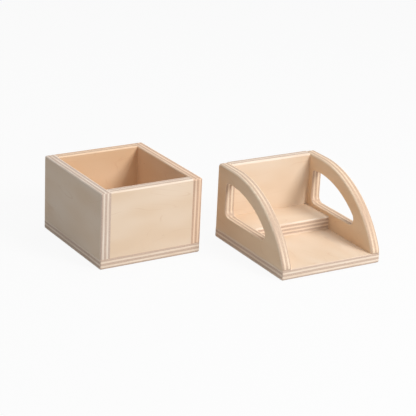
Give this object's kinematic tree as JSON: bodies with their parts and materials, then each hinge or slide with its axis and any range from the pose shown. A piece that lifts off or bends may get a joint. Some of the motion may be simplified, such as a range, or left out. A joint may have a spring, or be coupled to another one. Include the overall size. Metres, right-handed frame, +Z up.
{
  "type": "washer toss box",
  "caption": "Plywood lawn game set: a closed open-topped box, and an open-fronted box with swept sides, side windows and a raised step at the back.",
  "frame": {"origin": "centre of the closed box's underside", "axes": "+Z up out of both boxes, -Y out of their fronts, +X from the closed box towards the open-fronted one"},
  "size_m": [0.4703, 0.4007, 0.1425],
  "materials": {
    "plywood": "fine-sanded birch plywood, bare, eased edges with the plies showing",
    "dowel": "plain beech dowel",
    "screw": "zinc plated, countersunk"
  },
  "bodies": {
    "closed_box": {"box_base": "plywood", "box_left_wall": "plywood", "box_right_wall": "plywood", "box_front_wall": "plywood", "box_back_wall": "plywood", "box_corner_dowels": "dowel", "box_base_screws": "screw"},
    "open_box": {"open_base": "plywood", "open_left_side": "plywood", "open_right_side": "plywood", "open_back_panel": "plywood", "open_step": "plywood", "open_corner_dowels": "dowel", "open_base_screws": "screw"}
  },
  "joints": [
    {"name": "open_box_push", "type": "slide", "parent": "closed_box", "child": "open_box", "axis": [1, 0, 0], "range_m": [-0.04, 0.4]}
  ]
}
